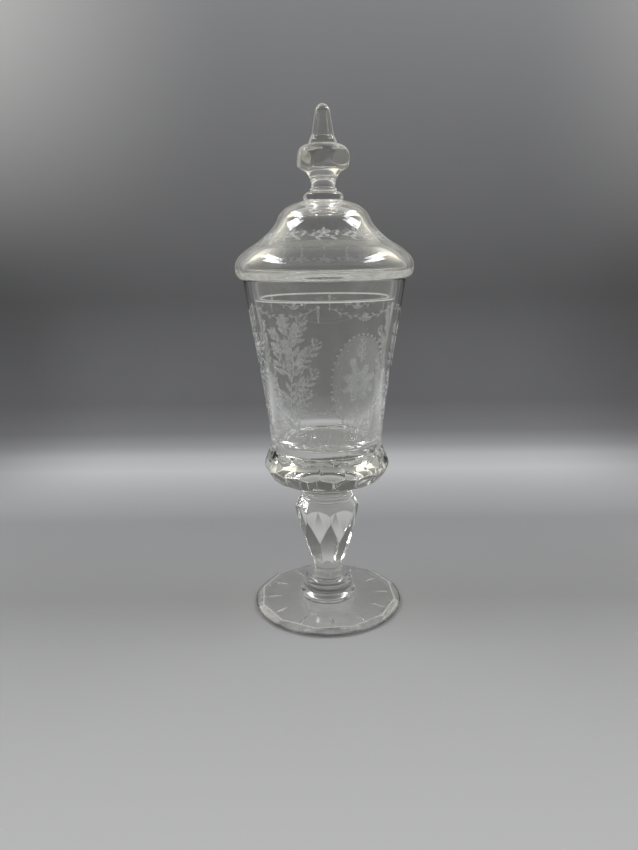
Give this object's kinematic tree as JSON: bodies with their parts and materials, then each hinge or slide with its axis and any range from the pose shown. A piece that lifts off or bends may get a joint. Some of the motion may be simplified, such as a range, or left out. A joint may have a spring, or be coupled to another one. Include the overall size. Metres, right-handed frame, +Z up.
{
  "type": "covered goblet",
  "caption": "Covered glass goblet with a cut foot, faceted baluster stem, conical bowl and a loose domed cover with a pointed finial.",
  "frame": {"origin": "middle of the foot's resting face, on the axis of the goblet", "axes": "+Z up along the axis of the goblet, -Y towards the front of the picture, +X to its right"},
  "size_m": [0.1086, 0.1086, 0.315],
  "materials": {
    "clear_glass": "blown and polished, clear with a faint warm tinge, frosted wheel engraving on bowl and cover",
    "cut_glass": "cut and polished facets"
  },
  "bodies": {
    "goblet": {"foot_plate": "clear_glass", "foot_button": "clear_glass", "stem_baluster": "cut_glass", "stem_collar": "clear_glass", "bowl_calyx": "cut_glass", "bowl": "clear_glass"},
    "cover": {"cover_flange": "clear_glass", "cover_dome": "clear_glass", "finial_button": "clear_glass", "finial_neck": "clear_glass", "finial_knop": "cut_glass", "finial_spire": "cut_glass"}
  },
  "joints": [
    {"name": "cover_lift", "type": "slide", "parent": "goblet", "child": "cover", "axis": [0, 0, 1], "range_m": [0, 0.08]}
  ]
}
